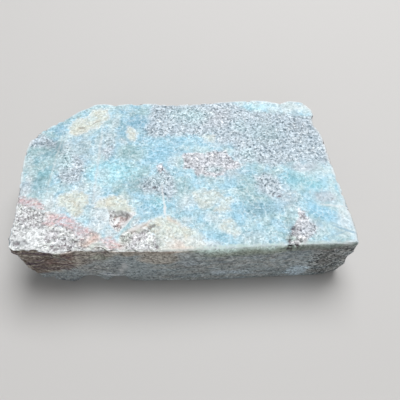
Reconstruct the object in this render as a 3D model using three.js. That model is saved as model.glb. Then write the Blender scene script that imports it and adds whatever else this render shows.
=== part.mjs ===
// Raw larimar slab: a thick block of pale blue larimar rock, about as long as a hand is wide.
// A diamond saw cut its top, its underside and its long front side. The left, back and right
// sides are left as they broke, in flat flakes that meet in ridges, and they draw in towards
// the foot. It is one natural piece, so it is one closed solid.
//
// Millimetres, +Z up. The origin is the middle of the bottom of the bounding box, +X runs
// along the sawn front from left to right, and the front faces -Y.

import * as THREE from "three";
import { ImprovedNoise } from "three/addons/math/ImprovedNoise.js";
import { mergeVertices } from "three/addons/utils/BufferGeometryUtils.js";

const THICKNESS = 23;

// The rim, which is the slab's plan at its widest, as four runs of points that meet at the
// corners. Front and back go from left to right, and left and right from front to back.
const FRONT_LEFT = [-54.2, -29.8];
const FRONT_RIGHT = [56.5, -32];
const BACK_LEFT = [-56.2, 14.5];
const BACK_RIGHT = [49.8, 31.2];
const RIM = {
  front: [
    FRONT_LEFT, [-52.4, -31], [-46.4, -31.4], [-43.8, -32.1], [-34.4, -32.8], [-27.8, -32.5],
    [-19, -32.7], [-9.6, -33], [7.6, -33.3], [23.3, -33.1], [37.7, -32.8], [52, -32.6], FRONT_RIGHT,
  ],
  right: [
    FRONT_RIGHT, [56.8, -27.9], [56.2, -18], [55.2, -4.6], [54.5, 2], [54.3, 9], [53.3, 15.8],
    [51.8, 18.4], [51.6, 21], [52.9, 24.4], [52.8, 26.6], [51.6, 28.3], BACK_RIGHT,
  ],
  back: [
    BACK_LEFT, [-53.4, 18.3], [-51, 20.7], [-47.4, 23.6], [-43.6, 26.1], [-39.3, 29.8],
    [-36.3, 30.8], [-34.4, 32.2], [-31, 32.6], [-25, 31.5], [-20.5, 32.5], [-10, 32.9],
    [-4.5, 31.9], [8.3, 32.1], [17, 32.8], [32.5, 33.1], [38.2, 31.8], [41.2, 31], [43, 32.4],
    [46, 32.2], BACK_RIGHT,
  ],
  left: [
    FRONT_LEFT, [-55.2, -26.6], [-54.9, -19.9], [-55.3, -14.1], [-56.2, -2], [-56.8, 8.6], BACK_LEFT,
  ],
};

// The wall faces along the axes in the middle of a side, and turns round at the corners: the
// higher the squareness, the sharper the turn. It counts as the sawn front from one share of
// the full front direction to the other.
const HALF_LENGTH = 56;
const HALF_WIDTH = 33;
const SQUARENESS = { front: 7, back: 4 };
const FRONT_TURN = { from: 0.7, to: 0.97 };

// How far the foot draws in under the rim on each side, over the slab's whole height.
const UNDERCUT = { left: 3.4, right: 1.6, back: 2.8 };
const FRONT_LEAN = 0.6; // the sawn front stands out this much more at its foot

// Rounding radii of the edges. The sawn front's upper edge is worn right of the middle.
const CRUMBLED_EDGE = 0.7;
const WORN_EDGE = { radius: 2.3, from: 2, to: 13 };
const FOOT_EDGE = 1.1;
const FRONT_FOOT_EDGE = 0.33; // the saw left the front's foot this much sharper

// The saw's first cut left the top's left end on a plane of its own, dipping to the left.
const SAW_STEP = { x: -45.3, slant: 0.055, dip: 0.06 };
const SAW_WANDER = { wave: 30, height: 0.2, seed: 2 }; // how far the sawn top strays from flat

// Broken ground on the front: wavy ledges on its left end, and chips out of its foot.
// Each chip is centred on x, reaches half its width each way, up to height and in by depth.
const LEDGES = { to: -30, fade: 12, spacing: 4.4, depth: 1.4, start: 2 };
const LEDGE_WAVES = { wave: 15, height: 5, seed: 5 };
const FOOT_CHIPS = [
  { x: -33.2, half: 7, height: 5, depth: 3 },
  { x: -22.6, half: 4.6, height: 4.2, depth: 2.8 },
];

// Hollows in the top, as bowls: centre, half length and half width, turn, and depth.
const HOLLOWS = [
  { x: -19.8, y: -19.6, long: 4.8, wide: 3.4, turn: 0.5, depth: 2.2 }, // rusty vug
  { x: -21, y: -23.6, long: 3, wide: 2, turn: 1.4, depth: 1.2 },
  { x: -26, y: -32.2, long: 4, wide: 2.8, turn: 0, depth: 2.4 }, // bite out of the front edge
  { x: -13.5, y: -26.8, long: 3.6, wide: 2.2, turn: 0.3, depth: 1.2 },
  { x: 35.4, y: -31, long: 3.2, wide: 3, turn: 0, depth: 1.5 }, // two pits behind the worn edge
  { x: 36.8, y: -25.6, long: 2.4, wide: 3, turn: 0, depth: 0.9 },
  { x: -49, y: 13.4, long: 5, wide: 2.6, turn: -0.4, depth: 0.8 },
  { x: -48.5, y: -17.8, long: 6.4, wide: 2.8, turn: -0.45, depth: 1 },
  { x: -38, y: -26.4, long: 7, wide: 2.6, turn: -0.5, depth: 1 },
];
const HOLLOW_REACH = 4; // a hollow that meets the rim runs down the wall this far

// The broken sides are flat flakes. Each layer has its flakes' size and depth, and the smaller
// flakes roughen the larger ones. The rock splits along a grain that is turned from the axes.
const FLAKES = [
  { size: 17, depth: 4.2 },
  { size: 7, depth: 2.2 },
];
const GRAIN = new THREE.Euler(0.5, 0.35, 0.8);
const FLAKE_SCATTER = 0.37; // spreads the heights of neighbouring lattice corners
const FLAKE_MIDDLE = 0.1; // flakes lie this share of their depth under the rim's line
const FLAKE_START = 5; // they reach their full depth this far below the rim
const BULGE = { slope: 0.3, most: 0.6 }; // how fast and how far ridges swell out below the rim
const CORNER_FADE = 8; // the flakes start this far behind the sawn front

// Mesh: cells along X, along Y and down the wall. Rows crowd to the front, where hollows are.
const CELLS_X = 56;
const CELLS_Y = 28;
const CROWDING = 1.2;
const WALL_ROWS = [0, 0.5, 1.3, 2.8, 5.4, 8.6, 12, 15.4, 18.4, 20.8, 22.3, THICKNESS];
const CELLS_Z = WALL_ROWS.length - 1;

const perlin = new ImprovedNoise();
const noise = (p, wave, seed = 0) => perlin.noise(p.x / wave + seed, p.y / wave + seed, p.z / wave);
const { clamp, lerp, smoothstep } = THREE.MathUtils;
const sum = (list, value) => list.reduce((total, item) => total + value(item), 0);
const bump = (t) => (Math.abs(t) < 1 ? (1 - t * t) ** 2 : 0); // 1 at 0, and 0 from -1 and 1 on

const curveThrough = (points) =>
  new THREE.CatmullRomCurve3(points.map(([x, y]) => new THREE.Vector3(x, y, 0)), false, "centripetal");
const rim = Object.fromEntries(
  Object.entries(RIM).map(([side, points]) => [side, curveThrough(points)]),
);

// Outward direction of the wall at a point. It turns sharply round the two square corners at
// the front, and slowly round the blunt ones at the back.
function outward(p) {
  const squareness = p.y < 0 ? SQUARENESS.front : SQUARENESS.back;
  const x = Math.sign(p.x) * Math.abs(p.x / HALF_LENGTH) ** squareness;
  const y = Math.sign(p.y) * Math.abs(p.y / HALF_WIDTH) ** squareness;
  return new THREE.Vector3(x, y, 0).normalize();
}

// How much of the sawn front, and of its broken left end, a place on the wall belongs to.
const frontness = (out) => smoothstep(-out.y, FRONT_TURN.from, FRONT_TURN.to);
const leftEnd = (p) => 1 - smoothstep(p.x, LEDGES.to - LEDGES.fade, LEDGES.to);

// How far an edge rounded by this radius lies inside the wall, at a distance from the edge.
function roundingInset(radius, distance) {
  const left = Math.max(radius - distance, 0);
  return radius - Math.sqrt(radius * radius - left * left);
}

function edgeInset(depth, p, out) {
  const worn = frontness(out) * smoothstep(p.x, WORN_EDGE.from, WORN_EDGE.to);
  const upper = roundingInset(lerp(CRUMBLED_EDGE, WORN_EDGE.radius, worn), depth);
  const foot = roundingInset(FOOT_EDGE, THICKNESS - depth);
  return upper + foot * lerp(1, FRONT_FOOT_EDGE, frontness(out));
}

// Height of one layer of flakes, about -1 to 1. Each corner of a lattice has a random height,
// and the slopes between them are flat: from one corner of a cube to the far one, the height
// changes along the axes in turn, the longest way first.
function flakeHeight(p, size) {
  const within = p.clone().applyEuler(GRAIN).divideScalar(size);
  const corner = within.clone().floor();
  within.sub(corner);
  const longestFirst = ["x", "y", "z"].sort((a, b) => within[b] - within[a]);
  let height = noise(corner, FLAKE_SCATTER);
  for (const axis of longestFirst) {
    const before = noise(corner, FLAKE_SCATTER);
    corner[axis] += 1;
    height += within[axis] * (noise(corner, FLAKE_SCATTER) - before);
  }
  return 2 * height;
}

function flakeDepth(depth, p, out) {
  const relief = sum(FLAKES, ({ size, depth: deep }) => deep * (FLAKE_MIDDLE + flakeHeight(p, size)));
  const fade = smoothstep(depth, 0, FLAKE_START) * smoothstep(p.y - FRONT_LEFT[1], 0, CORNER_FADE);
  const deepest = Math.max(relief, -Math.min(BULGE.slope * depth, BULGE.most));
  return (1 - frontness(out)) * fade * deepest;
}

function ledgeDepth(depth, p, out) {
  const waves = LEDGE_WAVES.height * noise(p, LEDGE_WAVES.wave, LEDGE_WAVES.seed);
  const phase = (depth + waves) / LEDGES.spacing;
  const step = (phase - Math.floor(phase)) * smoothstep(depth, 0, LEDGES.start);
  return frontness(out) * leftEnd(p) * LEDGES.depth * step;
}

function footChipDepth(p, out) {
  const depths = sum(FOOT_CHIPS, (chip) => {
    const below = clamp(1 - p.z / chip.height, 0, 1);
    return chip.depth * bump((p.x - chip.x) / chip.half) * Math.sqrt(below);
  });
  return depths * frontness(out);
}

function hollowDepth(p) {
  const depths = HOLLOWS.map((hollow) => {
    const dx = p.x - hollow.x;
    const dy = p.y - hollow.y;
    const along = dx * Math.cos(hollow.turn) + dy * Math.sin(hollow.turn);
    const across = dy * Math.cos(hollow.turn) - dx * Math.sin(hollow.turn);
    return hollow.depth * bump(Math.hypot(along / hollow.long, across / hollow.wide));
  });
  return Math.max(...depths);
}

// Height of the top: flat but for the saw's wander, its left end's dip and the hollows.
function topHeight(p) {
  const pastStep = Math.max(SAW_STEP.x + SAW_STEP.slant * p.y - p.x, 0);
  const wander = SAW_WANDER.height * noise(p, SAW_WANDER.wave, SAW_WANDER.seed);
  return THICKNESS - pastStep * SAW_STEP.dip - hollowDepth(p) + wander;
}

// A point of the wall: how far along its side, from 0 to 1, and in which row from the top.
function wallPoint(side, along, row) {
  const p = rim[side].getPointAt(clamp(along, 0, 1));
  const out = outward(p);
  const depth = WALL_ROWS[row];
  const down = depth / THICKNESS;
  p.z = THICKNESS - depth;
  const lean = FRONT_LEAN * down * frontness(out);
  const hollow = row > 0 ? hollowDepth(p) * bump(depth / HOLLOW_REACH) : 0;
  const inset =
    edgeInset(depth, p, out) + flakeDepth(depth, p, out) + ledgeDepth(depth, p, out) +
    footChipDepth(p, out) + hollow - lean;
  p.addScaledVector(out, -inset);
  p.x -= out.x * (out.x < 0 ? UNDERCUT.left : UNDERCUT.right) * down ** 2;
  p.y -= Math.max(out.y, 0) * UNDERCUT.back * down ** 2;
  if (row === 0) p.z = topHeight(p);
  return p;
}

// A point of the top or the underside, blended from the walls round it as a Coons patch.
function capPoint(u, v, row) {
  const corners = [
    [wallPoint("front", 0, row), (1 - u) * (1 - v)],
    [wallPoint("front", 1, row), u * (1 - v)],
    [wallPoint("back", 0, row), (1 - u) * v],
    [wallPoint("back", 1, row), u * v],
  ];
  const p = new THREE.Vector3()
    .addScaledVector(wallPoint("front", u, row), 1 - v)
    .addScaledVector(wallPoint("back", u, row), v)
    .addScaledVector(wallPoint("left", v, row), 1 - u)
    .addScaledVector(wallPoint("right", v, row), u);
  corners.forEach(([corner, share]) => p.addScaledVector(corner, -share));
  p.z = row === 0 ? topHeight(p) : 0;
  return p;
}

function slabPoint(u, v, row) {
  if (v === 0) return wallPoint("front", u, row);
  if (v === 1) return wallPoint("back", u, row);
  if (u === 0) return wallPoint("left", v, row);
  if (u === 1) return wallPoint("right", v, row);
  return capPoint(u, v, row);
}

// The slab starts as a unit box whose vertices are shared, and each vertex moves to its place.
function slabGeometry() {
  const box = new THREE.BoxGeometry(1, 1, 1, CELLS_X, CELLS_Y, CELLS_Z);
  box.deleteAttribute("normal");
  box.deleteAttribute("uv");
  const geometry = mergeVertices(box);
  const position = geometry.getAttribute("position");
  for (let i = 0; i < position.count; i++) {
    const u = Math.round((position.getX(i) + 0.5) * CELLS_X) / CELLS_X;
    const v = Math.round((position.getY(i) + 0.5) * CELLS_Y) / CELLS_Y;
    const row = Math.round((0.5 - position.getZ(i)) * CELLS_Z);
    const p = slabPoint(u, v ** CROWDING, row);
    position.setXYZ(i, p.x, p.y, p.z);
  }
  geometry.computeBoundingBox();
  const middle = geometry.boundingBox.getCenter(new THREE.Vector3());
  geometry.translate(-middle.x, -middle.y, 0);
  geometry.computeVertexNormals();
  return geometry;
}

const larimar = new THREE.MeshStandardMaterial({ color: 0xb4d3da, roughness: 0.62, metalness: 0 });
const slab = new THREE.Mesh(slabGeometry(), larimar);
slab.name = "larimar_slab";

const stone = new THREE.Group();
stone.add(slab);

export default stone;
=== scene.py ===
"""Raw larimar slab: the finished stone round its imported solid, and a plain studio to see it in.

Lengths in the settings are Blender's metres. Tables of places on the stone are millimetres in
the slab's own frame: +X along the sawn front, +Y to the broken back and +Z up from the base.
"""

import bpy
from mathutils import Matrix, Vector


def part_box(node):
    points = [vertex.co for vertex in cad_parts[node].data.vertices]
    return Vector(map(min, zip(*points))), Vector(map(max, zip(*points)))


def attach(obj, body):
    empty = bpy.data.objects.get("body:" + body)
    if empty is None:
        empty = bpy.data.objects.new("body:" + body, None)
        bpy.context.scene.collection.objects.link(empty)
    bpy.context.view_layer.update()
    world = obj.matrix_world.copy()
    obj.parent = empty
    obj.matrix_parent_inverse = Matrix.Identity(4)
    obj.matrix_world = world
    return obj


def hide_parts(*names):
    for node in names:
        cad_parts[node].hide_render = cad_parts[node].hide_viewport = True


bl_info = {
    "name": "Raw Larimar Slab",
    "version": (1, 0, 0),
    "blender": (4, 5, 0),
    "location": "View3D > Sidebar > Larimar",
    "description": "Builds a sawn slab of raw larimar and the studio round it",
    "category": "Add Mesh",
}

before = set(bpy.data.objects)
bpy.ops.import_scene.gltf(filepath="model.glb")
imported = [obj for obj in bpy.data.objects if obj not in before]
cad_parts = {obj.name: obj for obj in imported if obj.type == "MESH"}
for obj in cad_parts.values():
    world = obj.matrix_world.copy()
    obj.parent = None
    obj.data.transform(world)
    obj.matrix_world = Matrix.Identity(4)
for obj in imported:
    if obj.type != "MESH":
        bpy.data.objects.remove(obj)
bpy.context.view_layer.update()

from math import cos, pi, radians, sin

import bmesh
import bpy
import numpy as np
from bpy.props import FloatProperty, FloatVectorProperty, IntProperty, PointerProperty
from mathutils import Euler, Vector, kdtree, noise

MM = 0.001
CAD_NODE = "larimar_slab"
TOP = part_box(CAD_NODE)[1].z / MM  # height of the sawn top
SENSOR_WIDTH = 36  # of the camera, in mm
NEAREST_SEEN = 0.005  # from the camera, in metres


def colour_setting(name, description, default):
    return FloatVectorProperty(
        name=name, description=description, subtype="COLOR", size=3, min=0, max=1, default=default
    )


def length_setting(name, description, default):
    return FloatProperty(
        name=name, description=description, subtype="DISTANCE", unit="LENGTH", default=default
    )


def angle_setting(name, description, degrees):
    return FloatProperty(name=name, description=description, subtype="ANGLE", default=radians(degrees))


def power_setting(name, description, default):
    return FloatProperty(name=name, description=description, unit="POWER", default=default)


# Colours of the finish: what they are on and the default.
MINERALS = {
    "pale_blue": ("Ground colour of the sawn top", (0.50, 0.68, 0.73)),
    "sky": ("Clearest blue areas", (0.33, 0.62, 0.80)),
    "cyan": ("Brightest blue-green areas", (0.35, 0.74, 0.86)),
    "turquoise": ("Greenish blue areas", (0.28, 0.58, 0.67)),
    "deep_blue": ("Darkest blue areas", (0.21, 0.41, 0.55)),
    "sage": ("Grey-green areas", (0.29, 0.47, 0.50)),
    "lilac": ("Ground of the speckled areas", (0.50, 0.575, 0.645)),
    "violet": ("Ground of the darkest speckled areas", (0.64, 0.62, 0.66)),
    # plum also paints shade in pits, cracks, gaps and crevices, and shadow under the front's rim
    "plum": ("Purple-brown flecks", (0.13, 0.09, 0.11)),
    "cream": ("Ivory patches", (0.68, 0.74, 0.68)),
    "tan": ("Stain within the ivory patches", (0.66, 0.65, 0.55)),
    "coral": ("Pink stained band", (0.66, 0.43, 0.45)),
    "peach": ("Orange-pink stain at the front edge", (0.74, 0.58, 0.49)),
    # calcite also paints the highlight along the top's rim
    "calcite": ("White crystals and rims", (0.86, 0.88, 0.89)),
    # slate also paints shade in pits and under the broken front edge
    "slate": ("Dark flecks, pits and veins", (0.07, 0.09, 0.11)),
    "mauve": ("Walls of the vug", (0.56, 0.46, 0.45)),
    "rust": ("Red-brown stains on the front", (0.22, 0.12, 0.10)),
    # umber also paints shade: on the vug's upper wall and just under the front's left rim
    "umber": ("Host rock on the broken ends", (0.145, 0.096, 0.064)),
    # the front's colours are darker than the top's, partly as painted shade of the unlit front
    "front_grey": ("Ground of the sawn front", (0.43, 0.445, 0.43)),
    "front_blue": ("Bluer layers of the front", (0.37, 0.44, 0.47)),
    "front_tan": ("Warm areas of the front", (0.50, 0.46, 0.40)),
    "front_pale": ("Clear blue layer near the foot", (0.60, 0.73, 0.82)),
    # olive and mint are the front edge's colours; mint higher up is partly painted light on the rounded edge
    "olive": ("Lower part of the worn front edge", (0.36, 0.42, 0.35)),
    "mint": ("Upper part of the worn front edge", (0.69, 0.87, 0.82)),
}


class LarimarStoneSettings(bpy.types.PropertyGroup):
    """Relief and mineral colours of the stone."""

    detail: IntProperty(
        name="Detail", description="Times that each face of the solid is split in four",
        default=2, min=1, max=3,
    )
    rubble: length_setting("Rubble", "Height of the small relief on the broken sides", 0.0010)
    pitting: length_setting("Pitting", "Depth of the cracks between the calcite grains", 0.0004)


for mineral, (where, default) in MINERALS.items():
    LarimarStoneSettings.__annotations__[mineral] = colour_setting(
        mineral.replace("_", " ").capitalize(), where, default
    )


class LarimarStageSettings(bpy.types.PropertyGroup):
    """Studio floor, light and camera."""

    floor_size: length_setting("Floor", "Length of the floor's side", 3.0)
    floor_colour: colour_setting("Floor colour", "Pale grey of the floor", (0.62, 0.61, 0.60))
    key_power: power_setting("Key light", "Power of the soft light", 10.4)
    key_size: length_setting("Key size", "Side of the soft light's square", 0.7)
    key_distance: length_setting("Key distance", "From the stone to the soft light", 1.0)
    key_azimuth: angle_setting("Key azimuth", "Turn of the soft light from the back to the right", 25)
    key_elevation: angle_setting("Key elevation", "Height angle of the soft light", 66)
    fill_power: power_setting("Fill light", "Power of the weak front light", 1.3)
    fill_azimuth: angle_setting("Fill azimuth", "Turn of the weak light from the back to the right", 190)
    fill_elevation: angle_setting("Fill elevation", "Height angle of the weak light", 22)
    ambient: FloatProperty(name="Ambient", description="Strength of the even light all round", default=0.18)
    camera_place: FloatVectorProperty(
        name="Camera", description="Where the camera stands", subtype="TRANSLATION", unit="LENGTH", size=3,
        default=(0.0040, -0.08778, 0.1363),
    )
    camera_pitch: angle_setting("Camera pitch", "Angle that the camera looks down", 57)
    camera_yaw: angle_setting("Camera yaw", "Turn of the camera to the right", 2)
    lens: FloatProperty(
        name="Lens", description="Focal length on a 36 mm wide sensor", unit="CAMERA", default=36
    )


# ---------------------------------------------------------------- places on the stone

# Each mineral's patches, as X and Y of each corner of their outlines.
OUTLINES = {
    "cream": (
        (-42.4, 20.6, -41, 22.8, -38.4, 24.8, -35, 25.4, -34.2, 28, -32, 28.8, -29, 28.2, -27.8, 26,
         -28, 24.2, -30.2, 23.2, -31.2, 20.4, -34, 19.6, -37, 17.6, -39.6, 16.8, -41.8, 18.2),
        (-19.8, 19.4, -18.2, 19.6, -16.6, 17, -16.6, 14, -18, 13.2, -19.6, 15.4),
        (-40.8, -10.8, -37.5, -9.6, -33.4, -9.6, -31.4, -11, -31.2, -13.4, -32.2, -15.6, -32.8, -18.2,
         -34.8, -19.6, -37, -17.4, -38.8, -15.2, -41.4, -14.2),
        (-28.6, -14.6, -26, -12.6, -22.6, -11.8, -19.2, -12.6, -18, -14.6, -16, -17, -15.2, -19.2,
         -19.4, -17.6, -23.4, -17.6, -25, -16.6, -28, -15.6),
        (-11.6, -23.6, -9.5, -21.6, -7, -20.5, -4.4, -20.6, -2, -21.8, 0, -24, 3.2, -25.4, 6.2, -26.8,
         7.4, -28.6, 7.8, -31, 8.4, -34, -7, -34, -8, -30, -8.2, -27.4, -10.2, -25.4),
        (4.6, -11.4, 8, -10.4, 11, -10.8, 13.8, -12.4, 13.6, -14.4, 11, -15.8, 9.4, -17.6, 6.6, -17.2,
         5, -14.6),
        (13.4, -14.6, 16.6, -13.6, 17.6, -15.4, 16.4, -18, 13, -19.4, 11.2, -18.6, 13, -16.4),
        (13.8, -22.4, 16.4, -22.2, 17.6, -24.4, 19.2, -27, 17.4, -28.4, 14.6, -26.8, 12.4, -25.6),
        (9, 14.4, 13.2, 14.4, 12.4, 11.6, 9.6, 11.8),
    ),
    "coral": (
        (-56.5, -9.6, -52, -11.2, -49, -12, -46.8, -13.6, -45.4, -16, -47.6, -16, -50.5, -14.8, -53, -13.8,
         -56.5, -13),
        (-44.5, -17.8, -42, -18, -38, -18.6, -35.4, -19.8, -33, -22, -31, -23.8, -29, -24.6, -27.2, -25.6,
         -26, -27, -26.4, -29.6, -29.6, -29.8, -32, -29.2, -33.4, -27, -35, -24.8, -37.5, -23, -40, -22.2,
         -42.5, -22.6, -45, -21.6),
        (-26, -27.8, -22.5, -27.2, -20, -28.8, -18.4, -30.6, -19, -32, -22.4, -31.6, -25, -30.2),
    ),
    "peach": (
        (-2, -28.8, -0.2, -29.2, 1, -31, 1.4, -33.6, -2.4, -33.6, -2.4, -31),
        (-17.4, -25, -14.4, -23.2, -11, -22.2, -9.4, -21.4, -10.4, -23.6, -12, -25.2, -15.6, -26.6),
        (-4.2, -20.9, -2, -21.9, -0.8, -23.2, -2.4, -22.8, -4, -21.9),
    ),
    "calcite": (
        (-58, -12.6, -53, -13.6, -50, -15, -47, -16.4, -44.6, -17.8, -45.6, -20.5, -42.5, -22.4,
         -38, -22.8, -35, -24.4, -33.6, -27, -32.4, -29, -27, -29.6, -25, -29.8, -22, -31.2, -19.5, -32,
         -19.5, -36, -40, -36, -60, -34),
        (-19.8, -27, -18, -25.4, -15, -25.2, -11.8, -23.8, -10.4, -25.2, -8.2, -27.2, -8, -30, -5.6, -34,
         -20, -34),
        (-24, -17.2, -15.2, -18.4, -15.6, -20, -20.2, -25.6, -22.8, -22.6),
    ),
    "violet": (
        (36.2, -26, 37.8, -24, 38.4, -21, 39.4, -18.4, 41, -20, 42.6, -23.4, 44, -26, 43, -28, 40, -30,
         39.4, -34, 34.4, -34, 35.4, -29),
        (0.6, 5.8, 4, 6.6, 9, 6, 13, 7.4, 17, 6.6, 17.6, 4, 20, 2.6, 22.5, 0.6, 20.6, -0.8, 17.6, -1.6,
         15.6, -3.4, 11.6, -4.6, 8, -3.8, 6, -4, 4.4, -1.4, 1.6, -0.4, 1.6, 2.4),
        (-8.6, 1, -6.6, 1.4, -5.6, -1, -7, -2.6, -8.6, -1.4),
        (-16, -26.2, -12, -25.4, -11.2, -27, -13.6, -28.6, -16, -28),
    ),
    "lilac": (
        (-11.6, 36, -12, 24, -13.4, 18, -11, 14.4, -5, 14.4, 2, 15.2, 8, 14.4, 12, 15.4, 15, 11, 19, 10.6,
         20, 7.6, 18, 4, 22, 0.6, 27, 1, 33, -1, 38, 0.5, 45, 1.4, 52, -0.6, 60, 2, 60, 22, 48, 23.6,
         40, 25.4, 34, 26, 28, 26.8, 22, 31, 18, 36),
        (-42.6, 10, -39, 8, -35, 4.4, -34, -1, -34.6, -5.4, -39, -6.4, -43, -3, -43.6, 3),
        (-27.6, 16.6, -25, 15, -24.2, 9, -26.4, 4.6, -28.8, 8),
        (-13, -5, -8, -3, -5.6, 0, -3.6, -3, -1.8, -7, -1.6, -11, -4, -14.4, -7, -11, -12, -10.4, -14, -8),
        (26, -4.6, 32, -3.6, 35.4, -8, 35, -14.6, 31, -14.4, 26.4, -11),
        (-58, 17, -52, 17.6, -46, 13.6, -46.4, 11, -51, 11.4, -58, 12.6),
    ),
    "sage": (
        (-58, 11.4, -50, 11.2, -46, 12.8, -43.8, 14, -43.9, 10, -44.4, 2, -44.9, -4, -45.7, -8,
         -47.4, -9.6, -49, -8, -50.4, -5, -53, -1.4, -58, 1),
        (-18.6, -8.4, -16.4, -4.4, -12, -4.4, -8, -6, -7, -9.6, -12, -10.6, -17, -10),
        (-23, 10.6, -8, 11.4, -10, 6, -16, 4.4, -24, 5.4),
        (-4, -4, 4, -4.4, 3, -10, -2, -12, -4, -8),
        (20, -4, 33, -3, 34, -9, 31, -16, 31, -21, 22, -20, 19, -13),
    ),
    "vug": (
        (-22.6, -18.9, -20, -17.9, -16.4, -19.8, -19, -22.8, -20.4, -24.6, -22.4, -22.4),
    ),
}
REACH = 6.0  # distances to an outline or to the top's rim are kept up to this

# Pits in the top: place, radius and depth.
PITS = (
    (36.5, -26, 0.6, 0.7), (37.8, -26.2, 0.6, 0.5), (36, -27.8, 0.5, 0.5), (35, -29.1, 0.5, 0.4),
    (34.6, -29.9, 0.6, 0.6), (34.6, -30.7, 0.6, 0.6), (34.4, -32.3, 0.8, 1.0), (36.9, -32.2, 0.8, 1.0),
    (38, -32.9, 0.7, 0.7), (39.4, -33, 0.5, 0.5), (33.8, -33.6, 0.5, 0.5), (35.1, -34.2, 0.5, 0.5),
    (42, -26.3, 0.5, 0.3), (43.4, -27.4, 0.4, 0.3), (33.4, -13.7, 0.9, 0.8), (31.8, -13, 0.8, 0.4),
    (51.4, -15.5, 0.6, 0.5), (47.8, -16, 0.9, 0.3), (-9.4, -8.2, 1.1, 0.5), (-7.6, -9.2, 0.9, 0.4),
    (-15.6, -8.4, 0.6, 0.4), (-17.8, -8.8, 0.5, 0.3), (-15.6, -27.2, 0.7, 0.6), (-14, -27.8, 0.7, 0.6),
    (-12, -25.8, 0.9, 0.5), (-10.6, -29.2, 0.8, 0.5), (-7.8, -28.8, 0.6, 0.35), (-7.8, -31, 0.8, 0.6),
    (-6.4, -30.8, 0.6, 0.5), (-18.4, -28.8, 0.6, 0.3), (-16.6, -29.9, 0.7, 0.4), (-14.2, -30.6, 0.8, 0.6),
    (-52.4, -28.5, 1.1, 0.6), (-49.8, -27.9, 0.8, 0.5), (-40.4, -29.8, 1.2, 0.6), (-39.4, -30.6, 0.9, 0.6),
    (-24.4, -32.6, 0.7, 0.7), (-31.6, -30.2, 0.7, 0.6), (-48.2, -18.2, 0.7, 0.4),
)
# Narrow clefts in the top: both ends, half width and depth.
CLEFTS = (
    ((-10.6, -24.4), (-8.8, -23.2), 0.5, 0.5), ((-8.8, -23.2), (-6.9, -22.1), 0.25, 0.3),
    ((-9.6, -25.2), (-8.4, -26.8), 0.3, 0.4), ((-8.4, -26.8), (-4.8, -27), 0.25, 0.35),
    ((-38.2, -23.4), (-34.4, -25.2), 0.25, 0.4), ((-39.6, -27), (-34.6, -28.6), 0.3, 0.4),
    ((-37, -29), (-35, -32), 0.5, 0.6), ((-43.4, -26), (-42.6, -28), 0.4, 0.4),
    ((-54, -15.2), (-50, -17), 0.3, 0.35), ((-26.4, -32.2), (-23.8, -33.2), 0.45, 0.9),
    ((-29, -33), (-26.8, -32.7), 0.25, 0.4), ((-25.4, -30.6), (-22.8, -31.2), 0.2, 0.25),
    ((-22.9, -18.4), (-22, -21), 0.35, 0.5), ((-22.2, -22.8), (-20.3, -24.8), 0.4, 0.6),
)
# Where the upper edge stands further out or back: side (-1 front, 1 back), place along X, reach
# and shift along Y.
EDGE_SHIFTS = (
    (-1, -47, 4, -0.3), (-1, -40.5, 5, -0.4), (-1, -33, 4.5, 0.9), (1, -31, 9, 0.9), (1, -24, 7, 0.8),
)
BITE = (-26.5, -32)  # its place in the front edge
BITE_REACH = 4.5
BITE_FILL = 1.1  # height of the ground that fills most of it
VUG_DEPTH = 0.4
VUG_RIM = 0.15  # the ground round the vug lies this much below the highest point
CALCITE_GRAIN = 2.1  # size of the calcite's grains
CLEAN = (-47.5, -26.5, 6.5, 3.6)  # the whitest calcite: centre and half sizes
GRANULAR = (-49.8, -18.8, 6.4, 4.4)  # calcite in small grains
WANDER = ((0.8, 2.0), (0.6, 0.8))  # reach and wave of the noises that blur the pits' outlines
SAW_MARKS = (0.12, 2.4, 1.1)  # on the front: height, and lengths along X and Z
LAYERS = (0.55, 8, 0.9)  # at the front's left end: height, length and thickness
CRUMBLE = (0.5, 1.2)  # depth and reach of the crumbled rim
FINE_AREAS = ((-60, 9, -9), (30, 46, -22))  # calcite and vug, and right pits: X from, X to, Y up to
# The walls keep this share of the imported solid's flat faces and sharp edges, above and below
# a range of heights; the rest is smoothed.
FLAT_SHARE = (0.35, 0.9)
FLAT_WALLS = (TOP - 0.8, TOP - 2.4)
CORNER = (55, -29)  # where the front's upright edges begin, on both sides
CORNER_REACH = (8, 9)
# Knobs on those edges: side, height, half height and how far they stand out.
KNOBS = ((1, 17.5, 6, 0.5), (1, 6.5, 6, 0.9), (-1, 13, 8, 0.9))
NOISE_SEED = 5  # where the vector noise starts
WALL_FLAKES = ((5.5, 0.95), (2.4, 0.45), (1.1, 0.2))  # size and height of the broken sides' flakes
FLAKE_HEIGHTS = np.random.default_rng(11).uniform(-1, 1, 4096)
FLAKE_STEPS = np.array((73, 179, 283))  # picks a height for each corner of the flakes' lattice
GRAIN = np.array(Euler((0.5, 0.35, 0.8)).to_matrix())  # the rock splits along this turned lattice


def smooth(low, high, value):
    """0 below low, 1 above high, and a smooth curve between them."""
    t = np.clip((value - low) / (high - low), 0, 1)
    return t * t * (3 - 2 * t)


def outline_distance(x, y, outline):
    """How far inside the outline each place is, in mm, and negative outside it."""
    corners = tuple(zip(outline[::2], outline[1::2]))
    nearest = np.full(x.shape, np.inf)
    inside = np.zeros(x.shape, bool)
    for (ax, ay), (bx, by) in zip(corners, corners[1:] + corners[:1]):
        nearest = np.minimum(nearest, segment_distance(x, y, (ax, ay), (bx, by)))
        crosses = (ay > y) != (by > y)
        slope = (bx - ax) / (by - ay) if by != ay else 0.0
        inside ^= crosses & (x < ax + (y - ay) * slope)
    return np.where(inside, nearest, -nearest)


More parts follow.
